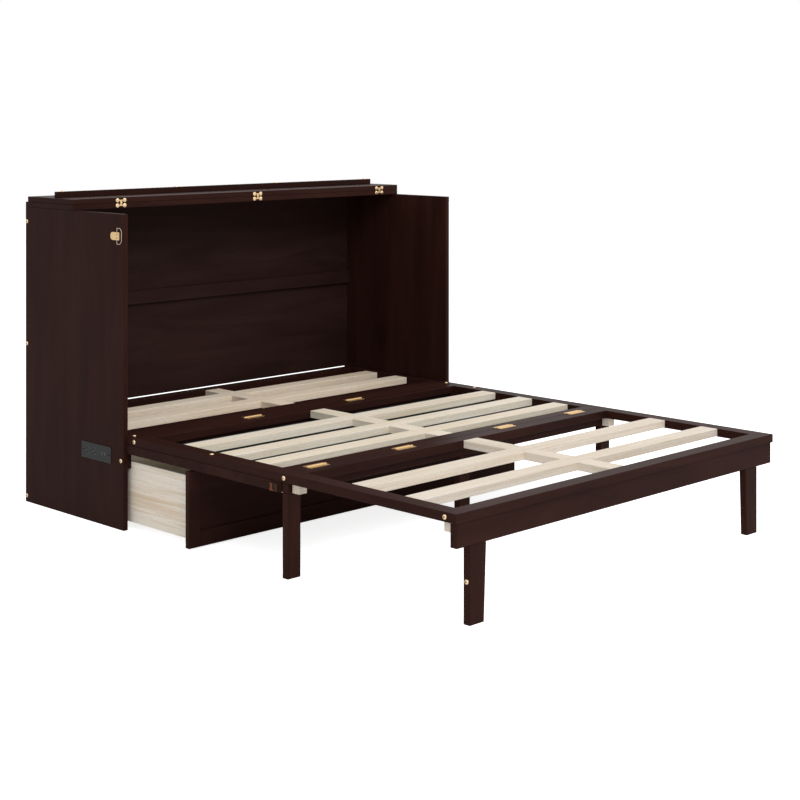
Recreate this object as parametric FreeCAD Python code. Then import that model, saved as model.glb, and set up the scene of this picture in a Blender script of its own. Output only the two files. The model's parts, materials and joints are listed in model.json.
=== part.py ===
"""Cabinet wall bed, folded out: a shallow cabinet with a deep drawer, and a slatted bed in three sections.

+X is to the right of someone who stands at the foot and looks at the cabinet, +Y goes back to the wall and
+Z is up. Millimetres. The pieces are drawn with Y zero at the cabinet's back and are moved at the end, so
that the origin is on the floor in the middle of the whole bed.
"""
import FreeCAD, Part
import os

os.makedirs("parts", exist_ok=True)
V = FreeCAD.Vector

# Cabinet
cabinet_width = 1552.0
cabinet_depth = 586.0
side_height = 1036.0
side_thickness = 17.5
back_thickness = 18.0
top_thickness = 18.5
fixed_top_depth = 297.0
back_slit = 3.0
back_lip = 6.0
back_batten_height = 50.0
back_batten_thickness = 14.0
back_batten_level = 658.0

# Bed frame
deck_height = 309.0
bed_side_room = 11.5
rail_thickness = 27.0
rail_width = 54.0
slat_width = 66.0
slat_thickness = 25.0
middle_length = 741.0
foot_length = 705.0
cross_rail_width = 102.0
head_side_rail_width = 32.0
batten_width = 66.0

# Head section, slat backs measured from the cabinet's back
head_slat_backs = (165.0, 334.0)
# Middle and foot sections, slat backs measured from the section's own hinge line
middle_slat_backs = (206.0, 387.0, 556.0)
foot_slat_backs = (245.0, 459.0)

# Front panel under the middle section, which closes the cabinet when the bed is up
panel_end_gap = 1.5
panel_side_reach = 2.0
panel_thickness = 30.0
panel_frame_width = 70.0
panel_board_thickness = 9.0
panel_board_setback = 8.0

# Foot apron and corner blocks
apron_height = 67.0
apron_thickness = 24.0
apron_setback = 4.0
apron_side_room = 0.6
block_size = 31.0
block_inset = 15.5
block_height = 29.7
block_rear_gap = 2.0

# Legs
front_leg_width = 66.0
front_leg_foot_width = 57.0
front_leg_left_inset = 58.0
front_leg_right_inset = 89.0
middle_leg_width = 50.0
middle_leg_thickness = 25.0
leg_head_thickness = 30.0
leg_rebate = 12.0
middle_leg_side_inset = 1.0

# Drawer
drawer_opening = 324.0
drawer_front_side_room = 2.5
drawer_front_bottom = 5.0
drawer_front_drop = 5.0
drawer_front_thickness = 19.0
drawer_stile = 45.0
drawer_rail = 52.0
drawer_panel_thickness = 9.0
drawer_panel_setback = 5.0
drawer_side_room = 13.5
drawer_box_bottom = 25.0
drawer_box_top = 224.0
drawer_box_length = 540.0
drawer_wall = 12.0
drawer_floor_thickness = 6.0
drawer_floor_rise = 12.0
runner_width = 35.0
runner_setback = 80.0
kicker_width = 18.0

# Flap and its batten
flap_thickness = 18.5
flap_front_gap = 1.0
flap_batten_width = 15.0
flap_batten_height = 20.5
flap_batten_room = 4.0

# Hinges
deck_hinge_length = 78.0
deck_hinge_leaf = 18.0
deck_hinge_thickness = 1.5
deck_hinge_radius = 2.0
row_one_hinge_shares = (-0.1656, 0.15)
row_two_hinge_shares = (-0.408, -0.1648, 0.15, 0.3926)
top_hinge_shares = (-0.3744, 0.0238, 0.433)
top_hinge_barrel = 9.0
top_hinge_lobe_radius = 7.2
top_hinge_lobe_pitch = 30.0
top_hinge_lobe_height = 9.0
top_hinge_arm = 3.2
top_hinge_thickness = 1.2
top_hinge_radius = 2.0
leg_hinge_length = 40.0
leg_hinge_leaf = 18.0
leg_hinge_thickness = 1.5
leg_hinge_radius = 2.0
pin_radius_share = 0.5
barrel_length_share = 1.0 / 3.0

# Latch on each side panel and its keeper on the front panel
latch_from_top = 73.0
latch_length = 49.0
latch_height = 26.0
latch_back_corner = 12.0
latch_front_corner = 2.0
latch_plate_thickness = 5.0
latch_from_front = 18.0
latch_hole_radius = 2.2
latch_hole_pitch = 13.0
latch_hole_inset = 13.0
latch_hole_depth = 0.8
bail_wire = 2.6
bail_height = 52.0
bail_reach = 25.5
bail_chamfer = 9.0
bail_from_front = 33.5
keeper_length = 37.0
keeper_height = 24.0
keeper_thickness = 4.0
keeper_from_end = 9.0

# Power outlet in the left side panel
outlet_length = 169.0
outlet_height = 54.0
outlet_back_share = 0.739
outlet_level = 237.0
outlet_plate_thickness = 2.5
outlet_body_depth = 30.0
outlet_body_margin = 8.0
outlet_corner = 4.0
socket_offsets = (-45.5, -11.5)
socket_radius = 14.0
usb_offsets = (35.0, 50.0)
usb_width = 6.5
usb_height = 14.0
socket_depth = 12.0
socket_blade_pitch = 12.7
socket_blade_length = 8.0
socket_blade_height = 2.6
socket_blade_shift = 4.0
socket_earth_shift = 9.0
socket_earth_radius = 2.6

# Bolts and clearances
bolt_head_radius = 7.0
bolt_head_height = 3.0
bolt_crown_share = 0.62
side_bolt_shares = (0.0212, 0.5376, 0.9517)
front_bolt_rise = 26.0
front_bolt_setback = 15.0
leg_bolt_level = 116.0
end_bolt_inset = 12.0
foot_bolt_inset = 42.0
deck_screw_inset = 21.0
left_deck_screw = 389.0
right_deck_screw = 133.0
batten_screw_shares = (-0.467, -0.1512, 0.1595, 0.467)
cleat_width = 13.0
cleat_depth = 30.0
cleat_height = 81.0
fit_gap = 0.3
running_gap = 0.05
closing_gap = 1.0
ease = 1.2
overrun = 5.0

# Lines that the sizes above give
half_cabinet = cabinet_width / 2
half_inside = half_cabinet - side_thickness
half_bed = half_cabinet - bed_side_room
bed_width = half_bed * 2
deck_hinge_offset = deck_hinge_radius + fit_gap
row_one = -(cabinet_depth + rail_thickness + deck_hinge_offset + closing_gap)
row_two = row_one - middle_length
foot_end = row_two - foot_length
rail_bottom = deck_height - rail_thickness
hinge_level = deck_height + deck_hinge_offset
panel_bottom = rail_bottom - panel_thickness
panel_top = rail_bottom - fit_gap
drawer_front_top = panel_bottom - drawer_front_drop
drawer_front_half_width = half_cabinet - drawer_front_side_room
apron_bottom = rail_bottom - apron_height
half_panel = half_bed + panel_side_reach
half_apron = half_inside - apron_side_room
latch_level = side_height - latch_from_top
outlet_centre_back = cabinet_depth * outlet_back_share
row_one_hinges = [share * bed_width for share in row_one_hinge_shares]
row_two_hinges = [share * bed_width for share in row_two_hinge_shares]
top_hinge_places = [share * cabinet_width for share in top_hinge_shares]
batten_screw_places = [share * cabinet_width for share in batten_screw_shares]
cleat_bottom = rail_bottom - cleat_height
drawer_front_back = -(cabinet_depth + closing_gap + drawer_opening)
drawer_half = half_inside - drawer_side_room
leg_hinge_offset = leg_hinge_radius + fit_gap
leg_head_front = row_two - leg_head_thickness
middle_leg_front = leg_head_front
middle_leg_back = middle_leg_front + middle_leg_thickness
apron_front = foot_end + apron_setback
apron_back = apron_front + apron_thickness


def box(x0, x1, y0, y1, z0, z1):
    """A plain block between two corners."""
    low = V(min(x0, x1), min(y0, y1), min(z0, z1))
    return Part.makeBox(abs(x1 - x0), abs(y1 - y0), abs(z1 - z0), low)


def board(x0, x1, y0, y1, z0, z1):
    """A sawn board with its arrises taken off."""
    raw = box(x0, x1, y0, y1, z0, z1)
    return raw.makeChamfer(ease, raw.Edges)


def rod(radius, start, end):
    """A round bar between two points."""
    along = end - start
    return Part.makeCylinder(radius, along.Length, start, along)


def pair(shape):
    """A piece and its mirror image on the other side of the bed."""
    return [shape, shape.mirror(V(), V(1, 0, 0))]


def group(shapes):
    """Separate solids that share one node."""
    return Part.makeCompound(shapes)


def save(shape, name):
    """Centre the bed on the origin and write the node."""
    moved = shape.copy()
    moved.translate(V(0, -foot_end / 2, 0))
    moved.exportStep("parts/" + name + ".step")


def bolt(place, outward):
    """Low domed bolt head, seated on the face that it is tightened on."""
    crown_radius = bolt_head_radius * bolt_crown_share
    return Part.makeCone(bolt_head_radius, crown_radius, bolt_head_height, place, outward)


def barrels(x_middle, length, y_axis, z_axis, radius, outer):
    """Barrel lengths of a hinge along X: the two outer ones, or the one between them."""
    half = length / 2
    inner = half * barrel_length_share
    if outer:
        spans = ((-half, -inner - running_gap), (inner + running_gap, half))
    else:
        spans = ((-inner, inner),)
    return [rod(radius, V(x_middle + a, y_axis, z_axis), V(x_middle + b, y_axis, z_axis)) for a, b in spans]


def hinge_leaf(plate, x_middle, length, y_axis, z_axis, radius, holds_pin):
    """One leaf of a butt hinge: the leaf with the outer barrels holds the pin and the other turns on it."""
    leaf = plate
    for clear in barrels(x_middle, length, y_axis, z_axis, radius + running_gap, not holds_pin):
        leaf = leaf.cut(clear)
    for barrel in barrels(x_middle, length, y_axis, z_axis, radius, holds_pin):
        leaf = leaf.fuse(barrel)
    half = length / 2
    pin_radius = radius * pin_radius_share
    ends = [V(x_middle + s * half, y_axis, z_axis) for s in (-1, 1)]
    pin = rod(pin_radius, ends[0], ends[1])
    bore = rod(pin_radius + running_gap, ends[0], ends[1])
    leaf = leaf.fuse(pin) if holds_pin else leaf.cut(bore)
    return leaf.removeSplitter()


def deck_hinges(places, y_axis, side, holds_pin):
    """Butt hinges screwed on the deck, with the pin over the line; side is +1 for the leaf behind it."""
    leaves = []
    half = deck_hinge_length / 2
    for x in places:
        plate = box(x - half, x + half, y_axis, y_axis + side * deck_hinge_leaf,
                    deck_height, deck_height + deck_hinge_thickness)
        riser = box(x - half, x + half, y_axis, y_axis + side * deck_hinge_radius,
                    deck_height + fit_gap, hinge_level)
        leaf = plate.fuse(riser)
        leaves.append(hinge_leaf(leaf, x, deck_hinge_length, y_axis, hinge_level,
                                 deck_hinge_radius, holds_pin))
    return leaves


def mitred(half_width, y0, y1, width, z0, z1):
    """A rectangle of four rails mitred at the corners: the two side rails, then the front and rear ones."""
    w = width
    outer = ((-half_width, y0), (-half_width, y1), (half_width, y1), (half_width, y0))
    half = half_width - w
    inner = ((-half, y0 + w), (-half, y1 - w), (half, y1 - w), (half, y0 + w))
    rails = []
    for i in (0, 2, 1, 3):
        j = (i + 1) % 4
        corners = [V(x, y, z0) for x, y in (outer[i], outer[j], inner[j], inner[i], outer[i])]
        rail = Part.Face(Part.makePolygon(corners)).extrude(V(0, 0, z1 - z0))
        along = corners[1] - corners[0]
        arrises = [e for e in rail.Edges if e.tangentAt(e.FirstParameter).cross(along).Length < fit_gap]
        rails.append(rail.makeChamfer(ease, arrises))
    return rails[:2], [rails[3], rails[2]]


def lapped(slat_backs, line, half_span, first, last):
    """Cross slats and the middle batten of a section, halved into each other, all flush with the deck."""
    top = deck_height
    middle = deck_height - slat_thickness / 2
    bottom = deck_height - slat_thickness
    half = batten_width / 2
    slats = []
    batten = board(-half, half, first, last, bottom, top)
    for back in slat_backs:
        y1 = line - back
        y0 = y1 - slat_width
        slat = board(-half_span, half_span, y0, y1, bottom, top)
        slats.append(slat.cut(box(-half - fit_gap / 2, half + fit_gap / 2, y0, y1, bottom, middle)))
        batten = batten.cut(box(-half, half, y0 - fit_gap / 2, y1 + fit_gap / 2, middle, top))
    return slats, batten


def framed(half_width, y0, y1, z0, z1, stile, rail, flat):
    """Four frame members round a panel: flat ones lie with their faces up, others stand with faces to Y."""
    if flat:
        stiles = pair(board(-half_width, -half_width + stile, y0, y1, z0, z1))
        inner = half_width - stile
        rails = [board(-inner, inner, y0, y0 + rail, z0, z1), board(-inner, inner, y1 - rail, y1, z0, z1)]
    else:
        stiles = pair(board(-half_width, -half_width + stile, y0, y1, z0, z1))
        inner = half_width - stile
        rails = [board(-inner, inner, y0, y1, z0, z0 + rail), board(-inner, inner, y0, y1, z1 - rail, z1)]
    return stiles + rails


# Bolts, as face point and outward direction
left = V(-1, 0, 0)
right = V(1, 0, 0)
up = V(0, 0, 1)
left_side_bolts = [(V(-half_cabinet, -back_thickness / 2, share * side_height), left)
                   for share in side_bolt_shares]
front_bolt = V(-half_cabinet, -cabinet_depth + front_bolt_setback, cleat_bottom + front_bolt_rise)
left_side_bolts.append((front_bolt, left))
right_side_bolts = [(V(-p.x, p.y, p.z), right) for p, _ in left_side_bolts]
rail_middle = deck_height - rail_thickness / 2
head_end_bolts = [(V(s * (half_bed - deck_screw_inset), -cabinet_depth - rail_thickness / 2, deck_height), up)
                  for s in (-1, 1)]
middle_bolts = [(V(s * half_bed, row_one - end_bolt_inset, rail_middle), V(s, 0, 0)) for s in (-1, 1)]
middle_deck_bolts = [(V(-half_bed + deck_screw_inset, row_one - left_deck_screw, deck_height), up),
                     (V(half_bed - deck_screw_inset, row_one - right_deck_screw, deck_height), up)]
foot_bolts = [(V(s * half_bed, y, rail_middle), V(s, 0, 0))
              for s in (-1, 1) for y in (row_two - end_bolt_inset, foot_end + foot_bolt_inset)]


def outlet_window():
    """Opening in the left side panel that the outlet's body goes through."""
    half_y = outlet_length / 2 - outlet_body_margin + fit_gap
    half_z = outlet_height / 2 - outlet_body_margin + fit_gap
    return box(-half_cabinet - overrun, -half_inside + overrun, -outlet_centre_back - half_y,
               -outlet_centre_back + half_y, outlet_level - half_z, outlet_level + half_z)


def side_panels():
    """The two full-depth sides; the left one has the outlet's window."""
    left_panel = board(-half_cabinet, -half_inside, -cabinet_depth, 0, 0, side_height)
    right_panel = board(half_inside, half_cabinet, -cabinet_depth, 0, 0, side_height)
    save(left_panel.cut(outlet_window()), "left_side_panel")
    save(right_panel, "right_side_panel")


def cabinet_shell():
    """Fixed rear half of the top, the back with a batten across it, and the low board behind the drawer."""
    top = board(-half_cabinet, half_cabinet, -fixed_top_depth, 0, side_height, side_height + top_thickness)
    save(top, "fixed_top")
    back = board(-half_inside, half_inside, -back_thickness, 0, deck_height + back_slit, side_height)
    low = board(-half_inside, half_inside, -back_thickness, 0, 0, deck_height - back_lip)
    save(back, "back_panel")
    save(low, "low_back_board")
    batten = board(-half_inside, half_inside, -back_thickness - back_batten_thickness, -back_thickness,
                   back_batten_level, back_batten_level + back_batten_height)
    save(batten, "back_batten")


def head_section():
    """The fixed head of the bed inside the cabinet, with the wide cross rail that the middle hinges on."""
    back = -back_thickness
    rail_front = row_one + fit_gap / 2
    rail_back = row_one + cross_rail_width
    rear = board(-half_inside, half_inside, back - rail_width, back, rail_bottom, deck_height)
    side = board(-half_inside, -half_inside + head_side_rail_width, rail_back, back - rail_width,
                 rail_bottom, deck_height)
    save(group([rear] + pair(side)), "head_rails")
    cross = board(-half_bed, half_bed, rail_front, rail_back, rail_bottom, deck_height)
    for notch in pair(box(-half_bed - overrun, -half_inside, -cabinet_depth, rail_back + overrun,
                          rail_bottom - overrun, deck_height + overrun)):
        cross = cross.cut(notch)
    save(cross, "front_cross_rail")
    half_span = half_inside - head_side_rail_width
    slats, batten = lapped(head_slat_backs, 0, half_span, rail_back, back - rail_width)
    save(group(slats), "head_slats")
    save(batten, "head_centre_batten")
    cleat = box(-half_inside, -half_inside + cleat_width, -cabinet_depth, -cabinet_depth + cleat_depth,
                rail_bottom - cleat_height, rail_bottom)
    save(group(pair(cleat)), "front_cleats")
    runner = board(-half_inside, -half_inside + runner_width, -cabinet_depth + runner_setback, back,
                   0, drawer_box_bottom - fit_gap)
    kicker = board(-drawer_half, -drawer_half + kicker_width, -cabinet_depth + cross_rail_width, back,
                   drawer_box_top + fit_gap, rail_bottom)
    save(group(pair(runner) + pair(kicker)), "drawer_runners")
    bolts = left_side_bolts + right_side_bolts + head_end_bolts
    save(group([bolt(p, d) for p, d in bolts]), "cabinet_bolts")
    leaves = deck_hinges(row_one_hinges, row_one, 1, True)
    leaves += [top_hinge(x, -1) for x in top_hinge_places]
    save(group(leaves), "cabinet_hinge_leaves")


top_hinge_offset = top_hinge_radius + fit_gap
flap_axis_y = -fixed_top_depth - top_hinge_offset
flap_axis_z = side_height + top_thickness + fit_gap


def top_hinge(x, side):
    """Cross-shaped leaf on the front of the fixed top (side -1, with the pin) or of the flap (side +1)."""
    face = -fixed_top_depth
    front = face - top_hinge_thickness
    seam = flap_axis_z if side > 0 else flap_axis_z - fit_gap
    half = top_hinge_barrel / 2
    level = side * top_hinge_lobe_height + flap_axis_z - fit_gap / 2
    reach = top_hinge_lobe_pitch / 2
    leaf = box(x - half, x + half, face, flap_axis_y, seam, flap_axis_z + side * top_hinge_radius)
    leaf = leaf.fuse(box(x - half, x + half, face, front, seam, level + side * top_hinge_arm / 2))
    leaf = leaf.fuse(box(x - reach, x + reach, face, front,
                         level - top_hinge_arm / 2, level + top_hinge_arm / 2))
    for s in (-1, 1):
        lobe = x + s * reach
        leaf = leaf.fuse(rod(top_hinge_lobe_radius, V(lobe, face, level), V(lobe, front, level)))
    return hinge_leaf(leaf, x, top_hinge_barrel, flap_axis_y, flap_axis_z, top_hinge_radius, side < 0)


def top_flap():
    """Front half of the top, shown folded back on the fixed half, with the batten on its underside."""
    z0 = flap_axis_z
    z1 = z0 + flap_thickness
    depth = cabinet_depth - flap_front_gap + 2 * flap_axis_y + fixed_top_depth
    flap = board(-half_cabinet, half_cabinet, -fixed_top_depth, -fixed_top_depth + depth, z0, z1)
    save(flap, "flap_board")
    y_batten = -fixed_top_depth + depth / 2
    half_batten = half_inside - flap_batten_room
    batten = board(-half_batten, half_batten, y_batten - flap_batten_width / 2,
                   y_batten + flap_batten_width / 2, z1, z1 + flap_batten_height)
    save(batten, "flap_batten")
    screws = [bolt(V(x, y_batten, z1 + flap_batten_height), up) for x in batten_screw_places]
    save(group(screws), "batten_screws")
    save(group([top_hinge(x, 1) for x in top_hinge_places]), "flap_hinge_leaves")


def rounded_plate(length, height, thickness, back_corner, front_corner, x_face, y_middle, z_middle):
    """A plate that lies on the left side panel, with rounded back and front corners."""
    half_y = length / 2
    half_z = height / 2
    plate = box(x_face - thickness, x_face, y_middle - half_y, y_middle + half_y,
                z_middle - half_z, z_middle + half_z)
    across = [e for e in plate.Edges if abs(e.Vertexes[0].X - e.Vertexes[1].X) > thickness / 2]
    plate = plate.makeFillet(back_corner, [e for e in across if e.Vertexes[0].Y > y_middle])
    across = [e for e in plate.Edges if abs(e.Vertexes[0].X - e.Vertexes[-1].X) > thickness / 2]
    return plate.makeFillet(front_corner, [e for e in across if e.Vertexes[0].Y < y_middle - half_y / 2])


def latches():
    """A latch plate on each side panel, bored for the wire bail that swings out from under it."""
    x_face = -half_cabinet
    front = -cabinet_depth + latch_from_front
    x_front = x_face - latch_plate_thickness
    plate = rounded_plate(latch_length, latch_height, latch_plate_thickness, latch_back_corner,
                          latch_front_corner, x_face, front + latch_length / 2, latch_level)
    y_hole = front + latch_hole_inset
    for s in (-1, 1):
        z_hole = latch_level + s * latch_hole_pitch / 2
        hole = rod(latch_hole_radius, V(x_front - overrun, y_hole, z_hole),
                   V(x_front + latch_hole_depth, y_hole, z_hole))
        plate = plate.cut(hole)
    radius = bail_wire / 2
    y_pivot = -cabinet_depth + bail_from_front
    x_pivot = x_face - latch_plate_thickness / 2
    half = bail_height / 2
    pivot = V(x_pivot, y_pivot, latch_level)
    plate = plate.cut(rod(radius + running_gap, pivot - V(0, 0, half), pivot + V(0, 0, half)))
    near = bail_chamfer - bail_reach
    points = [V(0, 0, -half), V(0, near, -half), V(0, -bail_reach, bail_chamfer - half),
              V(0, -bail_reach, half - bail_chamfer), V(0, near, half), V(0, 0, half)]
    bail = rod(radius, points[0], points[-1]).fuse(Part.makeSphere(radius, points[0]))
    for start, end in zip(points[:-1], points[1:]):
        bail = bail.fuse(rod(radius, start, end)).fuse(Part.makeSphere(radius, end))
    bail = bail.removeSplitter()
    bail.translate(pivot)
    save(group(pair(plate.removeSplitter())), "latch_plates")
    both = pair(bail)
    save(both[0], "latch_bail_left")
    save(both[1], "latch_bail_right")


def power_outlet():
    """Outlet let into the left side: a face plate with two three-hole sockets and two USB ports."""
    x_face = -half_cabinet
    y_middle = -outlet_centre_back
    module = rounded_plate(outlet_length, outlet_height, outlet_plate_thickness, outlet_corner, outlet_corner,
                           x_face, y_middle, outlet_level)
    half_y = outlet_length / 2 - outlet_body_margin
    half_z = outlet_height / 2 - outlet_body_margin
    module = module.fuse(box(x_face, x_face + outlet_body_depth, y_middle - half_y, y_middle + half_y,
                             outlet_level - half_z, outlet_level + half_z))
    front = x_face - outlet_plate_thickness
    floor = x_face + socket_depth
    inserts = []
    for offset in socket_offsets:
        y = y_middle - offset
        module = module.cut(rod(socket_radius + running_gap, V(front - overrun, y, outlet_level),
                                V(floor, y, outlet_level)))
        insert = rod(socket_radius, V(front + fit_gap, y, outlet_level), V(floor, y, outlet_level))
        for s in (-1, 1):
            middle = y + socket_blade_shift
            level = outlet_level + s * socket_blade_pitch / 2
            insert = insert.cut(box(front, front + socket_depth, middle - socket_blade_length / 2,
                                    middle + socket_blade_length / 2, level - socket_blade_height / 2,
                                    level + socket_blade_height / 2))
        earth = y - socket_earth_shift
        inserts.append(insert.cut(rod(socket_earth_radius, V(front, earth, outlet_level),
                                      V(front + socket_depth, earth, outlet_level))))
    for offset in usb_offsets:
        y = y_middle - offset
        z = outlet_level
        module = module.cut(box(front - overrun, floor, y - usb_width / 2, y + usb_width / 2,
                                z - usb_height / 2, z + usb_height / 2))
        inserts.append(box(front + fit_gap, floor, y - usb_width / 2 + fit_gap, y,
                           z - usb_height / 2 + fit_gap, z + usb_height / 2 - fit_gap))
    save(module.removeSplitter(), "outlet_module")
    save(group(inserts), "outlet_inserts")


def drawer():
    """Full-width drawer: a framed front and an open pine box on runners."""
    y1 = drawer_front_back
    y0 = y1 - drawer_front_thickness
    frame = framed(drawer_front_half_width, y0, y1, drawer_front_bottom, drawer_front_top,
                   drawer_stile, drawer_rail, False)
    save(group(frame), "drawer_front_frame")
    inner = drawer_front_half_width - drawer_stile
    panel = box(-inner, inner, y0 + drawer_panel_setback, y0 + drawer_panel_setback + drawer_panel_thickness,
                drawer_front_bottom + drawer_rail, drawer_front_top - drawer_rail)
    save(panel, "drawer_front_panel")
    back_end = y1 + drawer_box_length
    side = board(-drawer_half, -drawer_half + drawer_wall, y1, back_end, drawer_box_bottom, drawer_box_top)
    save(group(pair(side)), "drawer_sides")
    half = drawer_half - drawer_wall
    ends = [board(-half, half, y1, y1 + drawer_wall, drawer_box_bottom, drawer_box_top),
            board(-half, half, back_end - drawer_wall, back_end, drawer_box_bottom, drawer_box_top)]
    save(group(ends), "drawer_ends")
    floor_bottom = drawer_box_bottom + drawer_floor_rise
    floor = box(-half, half, y1 + drawer_wall, back_end - drawer_wall,
                floor_bottom, floor_bottom + drawer_floor_thickness)
    save(floor, "drawer_bottom")


middle_leg_places = (-half_bed + middle_leg_side_inset + middle_leg_width / 2, 0,
                     half_bed - middle_leg_side_inset - middle_leg_width / 2)
middle_leg_axis_y = middle_leg_back + leg_hinge_offset
middle_leg_axis_z = panel_bottom - leg_hinge_offset
front_leg_spans = ((-half_bed + front_leg_left_inset, 1), (half_bed - front_leg_right_inset, -1))
front_leg_axis_y = apron_back + leg_hinge_offset
front_leg_axis_z = apron_bottom


def leg_hinge(x, y_axis, z_axis, lying, holds_pin):
    """A leaf of a leg's hinge: lying under a board, or standing on a rear face above or below the pin."""
    half = leg_hinge_length / 2
    far = leg_hinge_offset
    near = far - leg_hinge_thickness
    side = 1 if holds_pin else -1
    if lying:
        plate = box(x - half, x + half, y_axis, y_axis + leg_hinge_leaf, z_axis + near, z_axis + far)
        riser = box(x - half, x + half, y_axis, y_axis + leg_hinge_radius, z_axis, z_axis + near)
    else:
        plate = box(x - half, x + half, y_axis - far, y_axis - near, z_axis, z_axis + side * leg_hinge_leaf)
        riser = box(x - half, x + half, y_axis - near, y_axis, z_axis, z_axis + side * leg_hinge_radius)
    return hinge_leaf(plate.fuse(riser), x, leg_hinge_length, y_axis, z_axis, leg_hinge_radius, holds_pin)


def middle_section():
    """Hinged middle of the bed: rails, three slats, the front panel below and the rail of the middle legs."""
    y1 = row_one - fit_gap / 2
    y0 = row_two + fit_gap / 2
    sides, crosses = mitred(half_bed, y0, y1, rail_width, rail_bottom, deck_height)
    save(group(sides), "middle_side_rails")
    save(group(crosses), "middle_cross_rails")
    inner = half_bed - rail_width
    slats, batten = lapped(middle_slat_backs, row_one, inner, y0 + rail_width, y1 - rail_width)
    save(group(slats), "middle_slats")
    save(batten, "middle_centre_batten")
    panel_back = -cabinet_depth - panel_end_gap
    frame = framed(half_panel, y0, panel_back, panel_bottom, panel_top,
                   panel_frame_width, panel_frame_width, True)
    save(group(frame), "front_panel_frame")
    clear = half_panel - panel_frame_width
    low = panel_bottom + panel_board_setback
    save(box(-clear, clear, y0 + panel_frame_width, panel_back - panel_frame_width, low,
             low + panel_board_thickness), "front_panel_board")
    outer = half_bed - middle_leg_side_inset
    head = board(-outer, outer, leg_head_front, y0, panel_bottom, panel_top)
    for rebate in pair(box(-outer, -outer + leg_rebate, middle_leg_back, y0, panel_bottom, panel_top)):
        head = head.cut(rebate)
    save(head, "leg_head_rail")
    leaves = deck_hinges(row_one_hinges, row_one, -1, False) + deck_hinges(row_two_hinges, row_two, 1, True)
    leaves += [leg_hinge(x, middle_leg_axis_y, middle_leg_axis_z, True, True) for x in middle_leg_places]
    save(group(leaves), "middle_hinge_leaves")
    save(group([bolt(p, d) for p, d in middle_bolts + middle_deck_bolts]), "middle_bolts")
    keeper = box(-half_panel - keeper_thickness, -half_panel, row_two + keeper_from_end,
                 row_two + keeper_from_end + keeper_length, panel_bottom, panel_bottom + keeper_height)
    save(group(pair(keeper)), "latch_keepers")


def middle_legs():
    """Three plain legs under the fold line, each with the moving leaf of its hinge."""
    for x, name in zip(middle_leg_places, ("left", "centre", "right")):
        half = middle_leg_width / 2
        leg = board(x - half, x + half, middle_leg_front, middle_leg_back, 0, panel_bottom - fit_gap)
        save(leg, "middle_leg_" + name)
        save(leg_hinge(x, middle_leg_axis_y, middle_leg_axis_z, False, False), "middle_leg_leaf_" + name)


def foot_section():
    """Hinged foot of the bed: rails, two slats, the apron and the corner blocks."""
    y1 = row_two - fit_gap / 2
    sides, crosses = mitred(half_bed, foot_end, y1, rail_width, rail_bottom, deck_height)
    save(group(sides), "foot_side_rails")
    save(group(crosses), "foot_cross_rails")
    inner = half_bed - rail_width
    slats, batten = lapped(foot_slat_backs, row_two, inner, foot_end + rail_width, y1 - rail_width)
    save(group(slats), "foot_slats")
    save(batten, "foot_centre_batten")
    save(board(-half_apron, half_apron, apron_front, apron_back, apron_bottom, rail_bottom), "foot_apron")
    blocks = []
    for y_block in (leg_head_front - block_rear_gap - block_size, apron_back):
        block = board(-half_bed + block_inset, -half_bed + block_inset + block_size, y_block,
                      y_block + block_size, rail_bottom - block_height, rail_bottom)
        blocks += pair(block)
    save(group(blocks), "foot_corner_blocks")
    leaves = deck_hinges(row_two_hinges, row_two, -1, False)
    for edge, s in front_leg_spans:
        x = edge + s * front_leg_width / 2
        leaves.append(leg_hinge(x, front_leg_axis_y, front_leg_axis_z, False, True))
    save(group(leaves), "foot_hinge_leaves")
    save(group([bolt(p, d) for p, d in foot_bolts]), "foot_bolts")


def front_legs():
    """Two legs under the apron, tapered on their inner edge, with a bolt in the outer edge."""
    top = apron_bottom - fit_gap
    for (edge, s), name in zip(front_leg_spans, ("left", "right")):
        inner_top = edge + s * front_leg_width
        inner_foot = edge + s * front_leg_foot_width
        corners = [V(edge, apron_front, 0), V(edge, apron_front, top), V(inner_top, apron_front, top),
                   V(inner_foot, apron_front, 0)]
        leg = Part.Face(Part.makePolygon(corners + corners[:1])).extrude(V(0, apron_thickness, 0))
        leg = leg.makeChamfer(ease, leg.Edges)
        save(leg, "front_leg_" + name)
        peg = bolt(V(edge, (apron_front + apron_back) / 2, leg_bolt_level), V(-s, 0, 0))
        save(peg, "front_leg_bolt_" + name)
        x = edge + s * front_leg_width / 2
        save(leg_hinge(x, front_leg_axis_y, front_leg_axis_z, False, False), "front_leg_leaf_" + name)


side_panels()
cabinet_shell()
head_section()
top_flap()
latches()
power_outlet()
drawer()
middle_section()
middle_legs()
foot_section()
front_legs()
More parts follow.
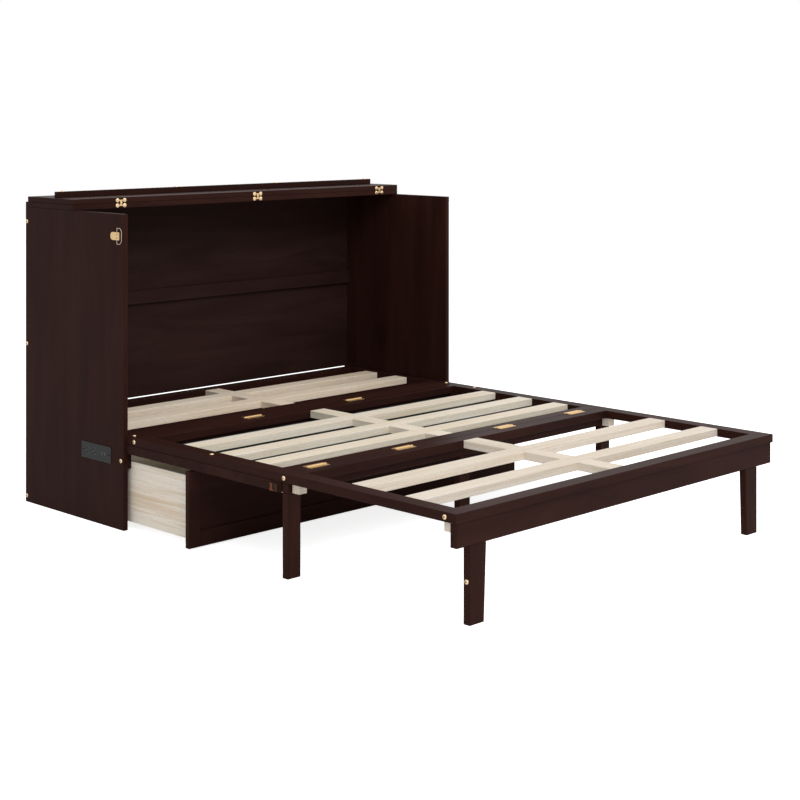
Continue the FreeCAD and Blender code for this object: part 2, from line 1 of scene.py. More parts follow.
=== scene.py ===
"""Cabinet wall bed, folded out. The CAD nodes carry the form. This script gives them their finishes, adds
the turned screws, the keepers' hooks and the outlet's small parts, and sets the studio, lights and camera."""
import json
import math
import bmesh
import bpy
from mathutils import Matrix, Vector


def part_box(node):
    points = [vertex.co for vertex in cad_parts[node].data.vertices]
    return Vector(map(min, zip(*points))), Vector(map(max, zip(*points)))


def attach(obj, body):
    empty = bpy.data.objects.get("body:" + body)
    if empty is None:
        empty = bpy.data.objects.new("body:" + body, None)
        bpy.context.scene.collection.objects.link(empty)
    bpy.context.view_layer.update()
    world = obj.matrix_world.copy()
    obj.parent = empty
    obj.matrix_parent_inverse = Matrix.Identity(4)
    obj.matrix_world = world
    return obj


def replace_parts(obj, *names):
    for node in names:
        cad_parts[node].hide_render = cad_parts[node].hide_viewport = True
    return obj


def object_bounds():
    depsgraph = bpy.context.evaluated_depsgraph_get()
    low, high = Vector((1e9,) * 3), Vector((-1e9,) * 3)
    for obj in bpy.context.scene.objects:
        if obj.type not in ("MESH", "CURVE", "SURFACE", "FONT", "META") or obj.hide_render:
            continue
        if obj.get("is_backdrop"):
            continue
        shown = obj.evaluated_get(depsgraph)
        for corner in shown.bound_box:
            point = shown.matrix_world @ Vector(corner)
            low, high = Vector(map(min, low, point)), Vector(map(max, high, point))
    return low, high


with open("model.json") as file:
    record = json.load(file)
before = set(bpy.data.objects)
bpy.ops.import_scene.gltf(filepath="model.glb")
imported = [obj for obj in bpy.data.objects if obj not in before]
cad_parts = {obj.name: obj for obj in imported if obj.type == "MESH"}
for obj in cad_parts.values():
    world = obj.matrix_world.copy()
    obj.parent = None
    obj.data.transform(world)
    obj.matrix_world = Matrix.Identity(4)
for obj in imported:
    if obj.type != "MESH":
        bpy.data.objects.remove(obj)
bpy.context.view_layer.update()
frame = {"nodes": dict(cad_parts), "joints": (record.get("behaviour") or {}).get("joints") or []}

MM = 0.001
scene = bpy.context.scene

# Size of one mark of each pattern in millimetres, across the grain and along it. A pixel of the render is
# about 3 mm wide on the bed, so a finer pattern is drawn coarser than it really is, as said beside it.
BIRCH_PORES = (1.6, 60)     # real pores are 0.1 mm wide and 2 mm long: drawn coarser, to break the sheen
STAIN_BANDS = (70, 500)     # the stain takes a little darker and lighter in bands as wide as a hand
PINE_LINES = (7, 320)       # growth lines of flat-sawn pine, 2 to 10 mm apart, that run out along the board
PINE_PORES = (1.1, 22)      # resin ducts are 0.2 mm wide: drawn coarser, to show as short darker strokes
BOARD_TONES = (120, 900)    # boards glued side by side, and heartwood beside sapwood
HANDLING_MARKS = (0.8, 6)   # rubbing marks are hair fine: drawn coarser, to cloud the shine
SPARK_GRAIN = (0.5, 0.5)    # the mould's grains are 0.05 mm: drawn coarser, to dull the plastic close up

# Where the dark, middle and light shade of a wood lie on its mixed noise
STAIN_STOPS = (0.3, 0.5, 0.7)
PINE_STOPS = (0.32, 0.5, 0.68)

# How far pores and handling marks move the roughness, down and up
PORE_SHEEN = (-0.06, 0.08)
RUB_SHEEN = (-0.08, 0.12)


def srgb(code):
    """Linear colour from a #rrggbb code."""
    parts = [int(code[i:i + 2], 16) / 255 for i in (1, 3, 5)]
    return [c / 12.92 if c <= 0.04045 else ((c + 0.055) / 1.055) ** 2.4 for c in parts] + [1.0]


def fill(tree, made, inputs):
    """Links or sets the inputs of a node."""
    for key, value in inputs.items():
        if isinstance(value, bpy.types.NodeSocket):
            tree.links.new(value, made.inputs[key])
        else:
            made.inputs[key].default_value = value


def node(tree, kind, inputs=None, stops=(), **settings):
    """Adds a shader node with its settings and inputs, and on a colour ramp its (position, code) stops."""
    made = tree.nodes.new(kind)
    for key, value in settings.items():
        setattr(made, key, value)
    fill(tree, made, inputs or {})
    if stops:
        elements = made.color_ramp.elements
        while len(elements) < len(stops):
            elements.new(0.5)
        for element, (position, code) in zip(elements, stops):
            element.position = position
            element.color = srgb(code)
    return made


def surface(name):
    """A new material with its tree and its surface shader."""
    material = bpy.data.materials.new(name)
    material.use_nodes = True
    tree = material.node_tree
    return material, tree, tree.nodes["Principled BSDF"]


def grain_coordinates(tree, along, marks):
    """Object coordinates, stretched so that noise of scale 1 has marks of the given size along one axis."""
    across_mm, along_mm = marks
    place = node(tree, "ShaderNodeTexCoord")
    sizes = [1 / (across_mm * MM)] * 3
    sizes["XYZ".index(along)] = 1 / (along_mm * MM)
    return node(tree, "ShaderNodeMapping", {"Vector": place.outputs["Object"],
                                            "Scale": sizes}).outputs["Vector"]


def stained_wood(name, along, shades, roughness, below=None):
    """Stained wood under satin lacquer: fine pores along the grain, and faint broad bands of tone. Below a
    level, other shades can take over, as on a board with two different faces."""
    material, tree, shader = surface(name)
    pores = node(tree, "ShaderNodeTexNoise", {"Vector": grain_coordinates(tree, along, BIRCH_PORES),
                                              "Scale": 1.0, "Detail": 4.0, "Roughness": 0.6})
    bands = node(tree, "ShaderNodeTexNoise", {"Vector": grain_coordinates(tree, along, STAIN_BANDS),
                                              "Scale": 1.0, "Detail": 3.0, "Distortion": 0.6})
    tone = node(tree, "ShaderNodeMix", {"Factor": 0.35, "A": bands.outputs["Fac"], "B": pores.outputs["Fac"]})
    colour = node(tree, "ShaderNodeValToRGB", {"Fac": tone.outputs["Result"]},
                  stops=list(zip(STAIN_STOPS, shades))).outputs["Color"]
    if below:
        level, other_shades = below
        other = node(tree, "ShaderNodeValToRGB", {"Fac": tone.outputs["Result"]},
                     stops=list(zip(STAIN_STOPS, other_shades)))
        place = node(tree, "ShaderNodeTexCoord")
        height = node(tree, "ShaderNodeSeparateXYZ", {"Vector": place.outputs["Object"]})
        upper = node(tree, "ShaderNodeMath", {0: height.outputs["Z"], 1: level}, operation="GREATER_THAN")
        colour = node(tree, "ShaderNodeMix", {"Factor": upper.outputs["Value"], "A": other.outputs["Color"],
                                              "B": colour}, data_type="RGBA").outputs["Result"]
    sheen = node(tree, "ShaderNodeMapRange", {"Value": pores.outputs["Fac"],
                                              "To Min": roughness + PORE_SHEEN[0],
                                              "To Max": roughness + PORE_SHEEN[1]})
    relief = node(tree, "ShaderNodeBump", {"Height": pores.outputs["Fac"], "Strength": 0.12,
                                           "Distance": 0.4 * MM})
    fill(tree, shader, {"Base Color": colour, "Roughness": sheen.outputs["Result"],
                        "Normal": relief.outputs["Normal"], "Specular IOR Level": 0.035})
    return material


def bare_pine(name, along, shades):
    """Bare pine: growth lines along the board, short darker pores, and boards of slightly different tone."""
    material, tree, shader = surface(name)
    lines = node(tree, "ShaderNodeTexNoise", {"Vector": grain_coordinates(tree, along, PINE_LINES),
                                              "Scale": 1.0, "Detail": 5.0, "Roughness": 0.55,
                                              "Distortion": 0.5})
    pores = node(tree, "ShaderNodeTexNoise", {"Vector": grain_coordinates(tree, along, PINE_PORES),
                                              "Scale": 1.0, "Detail": 3.0, "Roughness": 0.7})
    boards = node(tree, "ShaderNodeTexNoise", {"Vector": grain_coordinates(tree, along, BOARD_TONES),
                                               "Scale": 1.0, "Detail": 2.0})
    tone = node(tree, "ShaderNodeMix", {"Factor": 0.4, "A": lines.outputs["Fac"], "B": boards.outputs["Fac"]})
    colour = node(tree, "ShaderNodeValToRGB", {"Fac": tone.outputs["Result"]},
                  stops=list(zip(PINE_STOPS, shades)))
    strokes = node(tree, "ShaderNodeValToRGB", {"Fac": pores.outputs["Fac"]},
                   stops=((0.3, "#c9bba6"), (0.46, "#ffffff")))
    stroked = node(tree, "ShaderNodeMix", {"Factor": 0.55, "A": colour.outputs["Color"],
                                           "B": strokes.outputs["Color"]},
                   data_type="RGBA", blend_type="MULTIPLY")
    relief = node(tree, "ShaderNodeBump", {"Height": pores.outputs["Fac"], "Strength": 0.2,
                                           "Distance": 0.5 * MM})
    fill(tree, shader, {"Base Color": stroked.outputs["Result"], "Normal": relief.outputs["Normal"],
                        "Roughness": 0.68, "Specular IOR Level": 0.25})
    return material


def metal(name, colour, roughness):
    """Plated or blackened steel, clouded by handling."""
    material, tree, shader = surface(name)
    marks = node(tree, "ShaderNodeTexNoise", {"Vector": grain_coordinates(tree, "X", HANDLING_MARKS),
                                              "Scale": 1.0, "Detail": 3.0})
    cloud = node(tree, "ShaderNodeMapRange", {"Value": marks.outputs["Fac"],
                                              "To Min": roughness + RUB_SHEEN[0],
                                              "To Max": roughness + RUB_SHEEN[1]})
    fill(tree, shader, {"Base Color": srgb(colour), "Metallic": 1.0, "Roughness": cloud.outputs["Result"]})
    return material


def moulded(name, colour, roughness):
    """Moulded plastic with the mould's spark-eroded texture."""
    material, tree, shader = surface(name)
    grains = node(tree, "ShaderNodeTexNoise", {"Vector": grain_coordinates(tree, "X", SPARK_GRAIN),
                                               "Scale": 1.0, "Detail": 2.0})
    relief = node(tree, "ShaderNodeBump", {"Height": grains.outputs["Fac"], "Strength": 0.15,
                                           "Distance": 0.2 * MM})
    fill(tree, shader, {"Base Color": srgb(colour), "Roughness": roughness, "Specular IOR Level": 0.35,
                        "Normal": relief.outputs["Normal"]})
    return material


# Birch boards, stained espresso and sprayed with satin lacquer: a brown near black with an even, quiet sheen
ESPRESSO = ("#261411", "#301a15", "#39211b")
espresso = {axis: stained_wood("Espresso lacquered birch, grain " + axis, axis, ESPRESSO, 0.42)
            for axis in "XYZ"}
# Ply of the back with the same stain and a thinner coat: a shade greyer and duller than the boards
inside = stained_wood("Espresso lacquered ply, back", "X", ("#261714", "#2e1d1a", "#362421"), 0.5)
# Ply board of the front panel: espresso lacquer on the face outside, and on the face within a blue-grey,
# lightened as painted light so that it shows between the slats where it lies in shade
panel_low, panel_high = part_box("front_panel_board")
panel_board_lightened_within = stained_wood("Ply sealed blue-grey within, espresso lacquer outside", "X",
                            ("#66757b", "#718188", "#7c8c93"), 0.5,
                            below=((panel_low.z + panel_high.z) / 2, ESPRESSO))
# Planed white pine without a finish: pale, warm and matt, with soft growth lines
pine = {axis: bare_pine("Planed white pine, grain " + axis, axis, ("#e2d1b4", "#f1e4d0", "#faf2e5"))
        for axis in "XY"}
# The same, paler and a little pinker, for the head section: painted light that makes up for the shade under
# the cabinet's top
brightened_head_pine = {axis: bare_pine("Planed white pine, pale boards, grain " + axis, axis,
                             ("#efd7b8", "#fdebd4", "#fff5e5")) for axis in "XY"}
# The same, a little darker and greyer, for the foot section and its corner blocks: a quiet sand colour
foot_pine = {axis: bare_pine("Planed white pine, foot boards, grain " + axis, axis,
                             ("#d9c9b2", "#e8dbcb", "#f2eadf")) for axis in "XY"}
# Pine sanded for the drawer: the growth lines stand out, tan on cream
box_pine = {axis: bare_pine("Sanded drawer pine, grain " + axis, axis, ("#dfc7a7", "#f8edde", "#fffaf0"))
            for axis in "XY"}
# Drawer pine for the inner ends, darkened to a dull tan: painted shade for the dim inside of the drawer
shaded_end_pine = bare_pine("Drawer pine darkened for painted shade, ends, grain X", "X", ("#b39f83", "#c6b8a3", "#cfc4b2"))
# Hinge leaves stamped from sheet and brass-plated: warm yellow with a soft shine
leaf_brass = metal("Brass-plated pressed steel", "#e6c592", 0.38)
# Bolts and screws turned and brass-plated: paler and brighter than the leaves
head_brass = metal("Brass-plated turned steel", "#efd2ab", 0.3)
# Nickel on drawn wire: light grey, warm where it mirrors the wood
wire_steel = metal("Nickel-plated spring wire", "#c0aea0", 0.42)
# Antique plating: the keepers are dark brown, darkened further as painted shade from the rail above them, and
# their hooks copper red where the plating is rubbed
shaded_keeper_bronze = metal("Antique bronze-plated steel, darkened for painted shade", "#3b2c22", 0.5)
hook_copper = metal("Antique copper-plated steel", "#764432", 0.5)
# Blackened screws: small dark points, the outlet's darker than the latches'
dark_steel = metal("Blackened screw steel", "#1d1916", 0.5)
black_steel = metal("Black-oxide screw steel", "#080707", 0.6)
# Painted shade in a bolt's socket: a dark brass disc on the socket's floor stands in for the shade in the
# recess of the bright head
socket_shade_brass = metal("Painted shade on the floor of a bolt's socket", "#5e452b", 0.6)
# Nylon of the outlet: graphite plate, slightly glossier charcoal inserts, and light grey tongues in the ports
outlet_grey = moulded("Graphite moulded nylon", "#242525", 0.6)
outlet_dark = moulded("Charcoal moulded nylon", "#272929", 0.5)
port_grey = moulded("Light grey moulded nylon", "#6f7371", 0.5)

# Finish of each CAD node, with the grain along the board
FINISHES = (
    (espresso["X"], "fixed_top head_rails front_cross_rail flap_board flap_batten drawer_front_frame"
                    " drawer_front_panel middle_cross_rails front_panel_frame leg_head_rail foot_cross_rails"
                    " foot_apron"),
    (espresso["Y"], "drawer_runners middle_side_rails foot_side_rails"),
    (espresso["Z"], "left_side_panel right_side_panel front_cleats middle_leg_left middle_leg_centre"
                    " middle_leg_right front_leg_left front_leg_right"),
    (inside, "back_panel low_back_board back_batten"),
    # The panel's board: its face within partly painted light
    (panel_board_lightened_within, "front_panel_board"),
    # Head section: pine brightened as painted light
    (brightened_head_pine["X"], "head_slats"),
    (brightened_head_pine["Y"], "head_centre_batten"),
    (pine["X"], "middle_slats"),
    (pine["Y"], "middle_centre_batten"),
    (foot_pine["X"], "foot_slats foot_corner_blocks"),
    (foot_pine["Y"], "foot_centre_batten"),
    (box_pine["X"], "drawer_bottom"),
    (box_pine["Y"], "drawer_sides"),
    # The drawer's inner ends: pine darkened as painted shade
    (shaded_end_pine, "drawer_ends"),
    (leaf_brass, "cabinet_hinge_leaves flap_hinge_leaves middle_hinge_leaves foot_hinge_leaves latch_plates"
                 " middle_leg_leaf_left middle_leg_leaf_centre middle_leg_leaf_right front_leg_leaf_left"
                 " front_leg_leaf_right"),
    (head_brass, "cabinet_bolts middle_bolts foot_bolts batten_screws front_leg_bolt_left"
                 " front_leg_bolt_right"),
    # The keepers: dark bronze, partly painted shade
    (shaded_keeper_bronze, "latch_keepers"),
    (wire_steel, "latch_bail_left latch_bail_right"),
    (outlet_grey, "outlet_module"),
    (outlet_dark, "outlet_inserts"),
)
for material, names in FINISHES:
    for name in names.split():
        for place in frame["nodes"][name].material_slots:
            place.material = material


# Faces that meet at less than this angle are shaded as one
SMOOTH_BELOW = math.radians(32)


def loose_boxes(name):
    """Lowest and highest corners of the separate solids in a CAD node, from left to right."""
    shape = bmesh.new()
    shape.from_mesh(frame["nodes"][name].data)
    bmesh.ops.remove_doubles(shape, verts=shape.verts, dist=0.01 * MM)
    waiting = set(shape.verts)
    boxes = []
    while waiting:
        found = [waiting.pop()]
        for vertex in found:
            for edge in vertex.link_edges:
                other = edge.other_vert(vertex)
                if other in waiting:
                    waiting.remove(other)
                    found.append(other)
        boxes.append([Vector([pick(v.co[i] for v in found) for i in range(3)]) for pick in (min, max)])
    shape.free()
    return sorted(boxes, key=lambda ends: tuple(ends[0]))


def finished(name, shape, material, body):
    """Makes a piece from a bmesh, smooth but for its sharp arrises, and lets it ride on its body."""
    for face in shape.faces:
        face.smooth = True
    for edge in shape.edges:
        edge.smooth = edge.calc_face_angle(0.0) < SMOOTH_BELOW
    mesh = bpy.data.meshes.new(name)
    shape.to_mesh(mesh)
    shape.free()
    made = bpy.data.objects.new(name, mesh)
    scene.collection.objects.link(made)
    mesh.materials.append(material)
    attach(made, body)
    return made


def add_block(shape, size, place):
    """Adds a block of a size in millimetres about a place in metres."""
    fresh = bmesh.ops.create_cube(shape, size=1.0)["verts"]
    bmesh.ops.scale(shape, vec=[side * MM for side in size], verts=fresh)
    bmesh.ops.translate(shape, verts=fresh, vec=place)


def ease(shape, edges, width):
    """Rounds edges by a width in millimetres."""
    bmesh.ops.bevel(shape, geom=edges, offset=width * MM, offset_type="OFFSET", segments=2, profile=0.5,
                    affect="EDGES", material=-1)


# Half the width of a cross slot's arm as seen from its middle, and the radius share between the arms
ARM_HALF = math.radians(12)
BETWEEN_ARMS = 0.36


def hex_reach(angle):
    """Radius share of a hexagon's side at an angle."""
    sixth = math.pi / 3
    return math.cos(sixth / 2) / math.cos(angle % sixth - sixth / 2)


def cross_reach(angle):
    """Radius share of a cross slot at an angle: full on its four arms and narrow between them."""
    quarter = math.pi / 2
    off_arm = min(angle % quarter, quarter - angle % quarter)
    return 1.0 if off_arm < ARM_HALF else BETWEEN_ARMS


# Profile of a turned head, in shares of its height and of its radius
RIM_TOP, STEP_TOP, DOME_FOOT = 0.2, 0.36, 0.38
STEP_REACH, DOME_REACH = 0.95, 0.87
DOME_STEPS = 5


def head_mesh(radius, height, drive_radius, drive_depth, reach):
    """A turned screw head on the XY plane, in millimetres: a rim, a low dome, and the driver's recess."""
    crown = height - STEP_TOP * height
    profile = [(radius, 0), (radius, RIM_TOP * height), (STEP_REACH * radius, STEP_TOP * height),
               (DOME_REACH * radius, DOME_FOOT * height)]
    for step in range(1, DOME_STEPS + 1):
        turn = step / DOME_STEPS * math.pi / 2
        out = drive_radius + (DOME_REACH * radius - drive_radius) * math.cos(turn)
        profile.append((out, STEP_TOP * height + crown * math.sin(turn)))
    shape = bmesh.new()
    points = [shape.verts.new((x * MM, 0, z * MM)) for x, z in profile]
    lines = [shape.edges.new(pair) for pair in zip(points[:-1], points[1:])]
    bmesh.ops.spin(shape, geom=points + lines, cent=(0, 0, 0), axis=(0, 0, 1), dvec=(0, 0, 0),
                   angle=math.tau, steps=32, use_merge=True)
    bmesh.ops.remove_doubles(shape, verts=shape.verts, dist=0.001 * MM)
    ring = [v for v in shape.verts if abs(v.co.to_2d().length - drive_radius * MM) < 0.01 * MM]
    for vertex in ring:
        share = reach(math.atan2(vertex.co.y, vertex.co.x) % math.tau)
        vertex.co.xy *= share
    rim = [e for e in shape.edges if e.verts[0] in ring and e.verts[1] in ring]
    walls = bmesh.ops.extrude_edge_only(shape, edges=rim)["geom"]
    sunk = [v for v in walls if isinstance(v, bmesh.types.BMVert)]
    bmesh.ops.translate(shape, verts=sunk, vec=(0, 0, -drive_depth * MM))
    bmesh.ops.holes_fill(shape, edges=[e for e in shape.edges if e.is_boundary], sides=64)
    bmesh.ops.recalc_face_normals(shape, faces=shape.faces)
    mesh = bpy.data.meshes.new("head_pattern")
    shape.to_mesh(mesh)
    shape.free()
    return mesh


def add_heads(shape, pattern, places):
    """Copies a head onto each place, given as its seat and the direction that it faces."""
    for seat, outward in places:
        known = set(shape.verts)
        shape.from_mesh(pattern)
        fresh = [v for v in shape.verts if v not in known]
        turn = Vector(outward).to_track_quat("Z", "Y").to_matrix().to_4x4()
        bmesh.ops.transform(shape, matrix=turn, verts=fresh)
        bmesh.ops.translate(shape, verts=fresh, vec=seat)


def bolt_seats(name):
    """Seats of the bolts in a CAD node: each faces along its thin side, up or away from the middle."""
    places = []
    for low, high in loose_boxes(name):
        size = high - low
        centre = (low + high) / 2
        axis = min(range(3), key=lambda i: size[i])
        outward = Vector((0, 0, 0))
        outward[axis] = -1.0 if axis == 0 and centre.x < 0 else 1.0
        places.append((centre - outward * size[axis] / 2, outward))
    return places


# Bolt heads with a hexagon socket, in place of the plain ones of the CAD nodes, and painted shade in the
# sockets: thin dark discs, with their middle FLOOR_UP over the bolt's seat, in millimetres
FLOOR_RADIUS, FLOOR_THICK, FLOOR_UP = 2.4, 0.8, 1.8
bolt_pattern = head_mesh(radius=7.0, height=3.0, drive_radius=3.0, drive_depth=2.4, reach=hex_reach)
shade_disc_pattern = bpy.data.meshes.new("socket_shade_disc_pattern")
shape = bmesh.new()
bmesh.ops.create_cone(shape, cap_ends=True, segments=12, radius1=FLOOR_RADIUS * MM, radius2=FLOOR_RADIUS * MM,
                      depth=FLOOR_THICK * MM)
bmesh.ops.translate(shape, verts=shape.verts, vec=(0, 0, FLOOR_UP * MM))
shape.to_mesh(shade_disc_pattern)
shape.free()
for name, body in (("cabinet_bolts", "root"), ("middle_bolts", "middle_section"),
                   ("foot_bolts", "foot_section"), ("front_leg_bolt_left", "front_leg_left_body"),
                   ("front_leg_bolt_right", "front_leg_right_body"), ("batten_screws", "flap")):
    seats = bolt_seats(name)
    shape = bmesh.new()
    add_heads(shape, bolt_pattern, seats)
    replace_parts(finished(name + "_turned", shape, head_brass, body), name)
    # Dark discs in the sockets: painted shade in the recesses
    shape = bmesh.new()
    add_heads(shape, shade_disc_pattern, seats)
    finished(name + "_socket_shade_discs", shape, socket_shade_brass, body)

# Domed screws on the lobes of the top's hinges, and nearly flush ones in the deck's and the legs' hinges
TOP_LEVEL, DECK_LEVEL = 1.0, 0.3                # metres: above are the top's hinges, below are the legs'
LOBE_OUT, LOBE_EDGE, LOBE_FACE = 15, 7.2, 1.2   # to the side, in from the leaf's edge, back from its front
LEAF, AWAY = 1.5, 2.5                           # leaf thickness, and the step away from the knuckle
DECK_SPREAD, LEG_SPREAD = 0.72, 0.55            # outer screws, as a share of half the leaf's length
dome_pattern = head_mesh(radius=6.6, height=1.0, drive_radius=2.2, drive_depth=0.7, reach=cross_reach)
flush_pattern = head_mesh(radius=3.2, height=0.5, drive_radius=1.9, drive_depth=0.4, reach=cross_reach)
flap_line = next(j["pos_m"][2] for j in frame["joints"] if j["name"] == "flap_hinge")
deck_lines = [j["pos_m"][1] for j in frame["joints"] if j["name"] in ("middle_hinge", "foot_hinge")]
leg_lines = [j["pos_m"][2] for j in frame["joints"] if "leg" in j["name"]]


def leaf_screws(low, high):
    """Places of the domed screws and of the flush screws in one hinge leaf."""
    centre = (low + high) / 2
    half = (high.x - low.x) / 2
    if centre.z > TOP_LEVEL:
        level = low.z + LOBE_EDGE * MM if centre.z < flap_line else high.z - LOBE_EDGE * MM
        return [(Vector((centre.x + s * LOBE_OUT * MM, high.y - LOBE_FACE * MM, level)), (0, -1, 0))
                for s in (-1, 1)], []
    if centre.z > DECK_LEVEL:
        line = min(deck_lines, key=lambda y: abs(y - centre.y))
        y = centre.y + math.copysign(AWAY * MM, centre.y - line)
        return [], [(Vector((centre.x + s * half * DECK_SPREAD, y, low.z + LEAF * MM)), (0, 0, 1))
                    for s in (-1, 0, 1)]
    if high.z - low.z < high.y - low.y:
        return [], [(Vector((centre.x + s * half * LEG_SPREAD, centre.y + AWAY * MM, high.z - LEAF * MM)),
                     (0, 0, -1)) for s in (-1, 1)]
    line = min(leg_lines, key=lambda z: min(abs(z - low.z), abs(z - high.z)))
    z = centre.z + math.copysign(AWAY * MM, centre.z - line)
    return [], [(Vector((centre.x + s * half * LEG_SPREAD, low.y + LEAF * MM, z)), (0, 1, 0))
                for s in (-1, 1)]


leaf_nodes = {"cabinet_hinge_leaves": "root", "flap_hinge_leaves": "flap",
              "middle_hinge_leaves": "middle_section", "foot_hinge_leaves": "foot_section"}
for side in ("left", "centre", "right"):
    leaf_nodes["middle_leg_leaf_" + side] = "middle_leg_%s_body" % side
for side in ("left", "right"):
    leaf_nodes["front_leg_leaf_" + side] = "front_leg_%s_body" % side
for name, body in leaf_nodes.items():
    shape = bmesh.new()
    for low, high in loose_boxes(name):
        domes, flush = leaf_screws(low, high)
        add_heads(shape, dome_pattern, domes)
        add_heads(shape, flush_pattern, flush)
    finished(name + "_screws", shape, head_brass, body)

# Screws of the latch plates, in their blind holes: how deep they sit, how far from the plate's front edge,
# and how far above and below its middle, in millimetres
LATCH_SEAT, LATCH_BACK, LATCH_UP = 0.8, 13, 6.5
latch_pattern = head_mesh(radius=2.1, height=0.5, drive_radius=1.2, drive_depth=0.3, reach=cross_reach)
shape = bmesh.new()
for low, high in loose_boxes("latch_plates"):
    outward = math.copysign(1.0, low.x)
    face = high.x if outward > 0 else low.x
    for s in (-1, 1):
        seat = Vector((face - outward * LATCH_SEAT * MM, low.y + LATCH_BACK * MM,
                       (low.z + high.z) / 2 + s * LATCH_UP * MM))
        add_heads(shape, latch_pattern, [(seat, (outward, 0, 0))])
finished("latch_screws", shape, dark_steel, "root")

# Hook on each keeper that the wire bail catches, in millimetres: a tapered stem, a foot and a small lip
HOOK_BACK = 10.0                                # stem's middle, in from the keeper's rear end
STEM_FOOT, STEM_TIP, STEM_HEIGHT, STEM_DOWN = 4.0, 3.2, 18.0, 11.0
FOOT_SIZE, FOOT_UP = (2.4, 17.0, 5.5), 3.2
LIP_SIZE, LIP_ALONG, LIP_DOWN = (2.0, 12.0, 3.4), 2.5, 2.6
HOOK_EASE = 0.5
SHARP = 0.8                                     # radians: edges that turn by more are eased
shape = bmesh.new()
for low, high in loose_boxes("latch_keepers"):
    face = high.x if low.x > 0 else low.x
    y = high.y - HOOK_BACK * MM
    fresh = bmesh.ops.create_cone(shape, cap_ends=True, segments=16, radius1=STEM_FOOT * MM,
                                  radius2=STEM_TIP * MM, depth=STEM_HEIGHT * MM)["verts"]
    bmesh.ops.translate(shape, verts=fresh, vec=(face, y, high.z - STEM_DOWN * MM))
    add_block(shape, FOOT_SIZE, (face, y, low.z + FOOT_UP * MM))
    add_block(shape, LIP_SIZE, (face, y + LIP_ALONG * MM, high.z - LIP_DOWN * MM))
ease(shape, [e for e in shape.edges if e.calc_face_angle(0.0) > SHARP], HOOK_EASE)
finished("keeper_hooks", shape, hook_copper, "middle_section")

# Screws at the ends of the outlet's plate, and the tongues in its two ports, in millimetres from its middle
OUTLET_SCREW_OUT = 74.5
PORTS = (35, 50)
TONGUE_SIZE, TONGUE_OFF, TONGUE_IN, TONGUE_EASE = (0.8, 2.4, 12.0), 1.6, 0.5, 0.25
outlet_pattern = head_mesh(radius=3.0, height=0.5, drive_radius=1.8, drive_depth=0.4, reach=cross_reach)
low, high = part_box("outlet_module")
middle = (low + high) / 2
shape = bmesh.new()
add_heads(shape, outlet_pattern, [(Vector((low.x, middle.y + s * OUTLET_SCREW_OUT * MM, middle.z)),
                                   (-1, 0, 0)) for s in (-1, 1)])
finished("outlet_screws", shape, black_steel, "root")
shape = bmesh.new()
for port in PORTS:
    add_block(shape, TONGUE_SIZE, (low.x + TONGUE_IN * MM, middle.y - (port - TONGUE_OFF) * MM, middle.z))
ease(shape, shape.edges[:], TONGUE_EASE)
finished("usb_tongues", shape, port_grey, "root")


def seen(tree, direct, reflected):
    """One strength for rays from the camera, another off metal and through glass, and none for the light."""
    path = node(tree, "ShaderNodeLightPath")
    clear = node(tree, "ShaderNodeMath", {0: path.outputs["Is Glossy Ray"],
                                          1: path.outputs["Is Transmission Ray"]}, operation="MAXIMUM")
    own = node(tree, "ShaderNodeMath", {0: path.outputs["Is Camera Ray"], 1: direct}, operation="MULTIPLY")
    return node(tree, "ShaderNodeMath", {0: clear.outputs["Value"], 1: reflected, 2: own.outputs["Value"]},
                operation="MULTIPLY_ADD").outputs["Value"]


# Studio: a matt white floor that glows a little for the camera and keeps the shadow, and a white background
# whose light on the object is weaker than what the camera sees
FLOOR_HALF = 14.0
FLOOR_GLOW, FLOOR_MIRRORED = 0.82, 0.15
BACKGROUND_LIGHT, BACKGROUND_WHITE = 0.53, 1.0
floor_mesh = bpy.data.meshes.new("studio_floor")
shape = bmesh.new()
bmesh.ops.create_grid(shape, x_segments=1, y_segments=1, size=FLOOR_HALF)
shape.to_mesh(floor_mesh)
shape.free()
floor = bpy.data.objects.new("studio_floor", floor_mesh)
scene.collection.objects.link(floor)
floor_paint, floor_tree, floor_shader = surface("Matt white studio floor")
fill(floor_tree, floor_shader, {"Base Color": srgb("#ffffff"), "Roughness": 1.0, "Specular IOR Level": 0.0,
                                "Emission Color": srgb("#ffffff"),
                                "Emission Strength": seen(floor_tree, FLOOR_GLOW, FLOOR_MIRRORED)})
floor.data.materials.append(floor_paint)
floor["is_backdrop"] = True

world = bpy.data.worlds.new("Soft white studio")
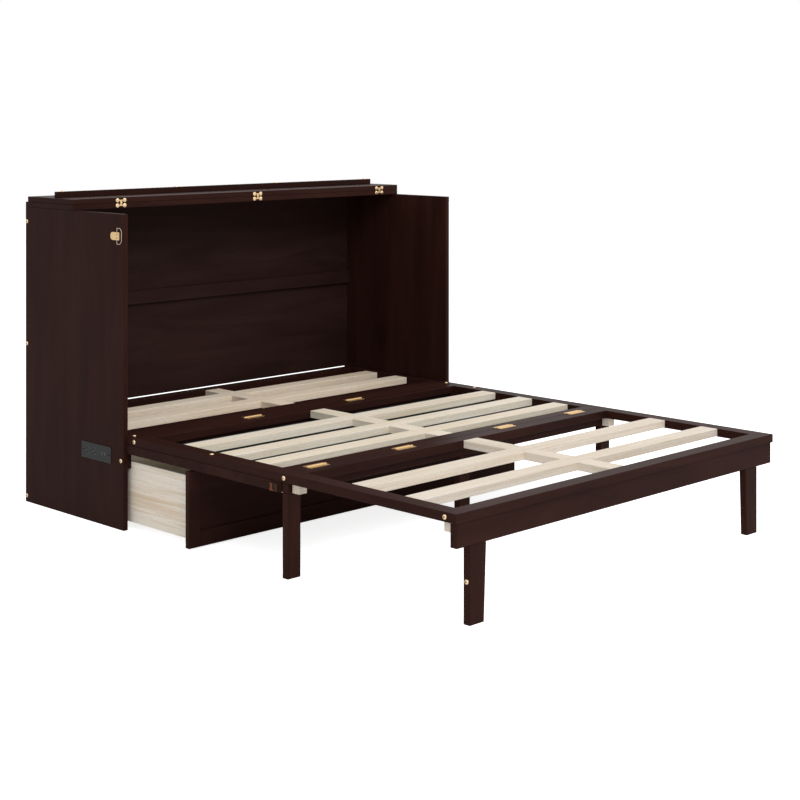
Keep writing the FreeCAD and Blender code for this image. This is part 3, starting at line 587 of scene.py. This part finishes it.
world.use_nodes = True
scene.world = world
tree = world.node_tree
tree.nodes.clear()
lit = node(tree, "ShaderNodeBackground", {"Color": srgb("#ffffff"), "Strength": BACKGROUND_LIGHT})
backdrop = node(tree, "ShaderNodeBackground", {"Color": srgb("#ffffff"), "Strength": BACKGROUND_WHITE})
both = node(tree, "ShaderNodeMixShader", {0: seen(tree, 1.0, 1.0), 1: lit.outputs[0], 2: backdrop.outputs[0]})
node(tree, "ShaderNodeOutputWorld", {"Surface": both.outputs[0]})
scene.view_settings.view_transform = "Standard"


def softbox(name, place, aim, size, power):
    """A square area light that faces a point, in metres and watts."""
    data = bpy.data.lights.new(name, "AREA")
    data.size = size
    data.energy = power
    lamp = bpy.data.objects.new(name, data)
    lamp.location = place
    lamp.rotation_euler = (Vector(aim) - Vector(place)).to_track_quat("-Z", "Y").to_euler()
    scene.collection.objects.link(lamp)


# The key stands before the foot at the left and a weak fill at the right, and one hangs high over the foot
softbox("key", place=(-2.8, -4.2, 4.2), aim=(0, 0, 0.4), size=2.6, power=92)
softbox("fill", place=(4.2, -2.6, 3.0), aim=(0, 0, 0.4), size=3.0, power=22)
softbox("top", place=(0.2, -2.2, 3.9), aim=(0, 0.6, 0.3), size=2.6, power=56)

# Camera of the photograph: level, 45 degrees to the left of the foot, lens shifted down. Its place was worked
# out from the photograph's straight edges, in metres from the cabinet's rear left corner and the floor.
CORNER_X, CORNER_Y = -0.776, 1.03115
CAMERA_LEFT, CAMERA_FRONT, CAMERA_UP = 3.1718, 5.036, 1.38
camera_data = bpy.data.cameras.new("photo_camera")
camera = bpy.data.objects.new("photo_camera", camera_data)
camera.location = (CORNER_X - CAMERA_LEFT, CORNER_Y - CAMERA_FRONT, CAMERA_UP)
camera.rotation_euler = (math.pi / 2, 0, -math.pi / 4)
camera_data.lens = 74.17
camera_data.sensor_width = 36.0
camera_data.shift_y = -0.3635
camera_data.clip_end = 60.0
scene.collection.objects.link(camera)
scene.camera = camera

low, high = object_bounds()
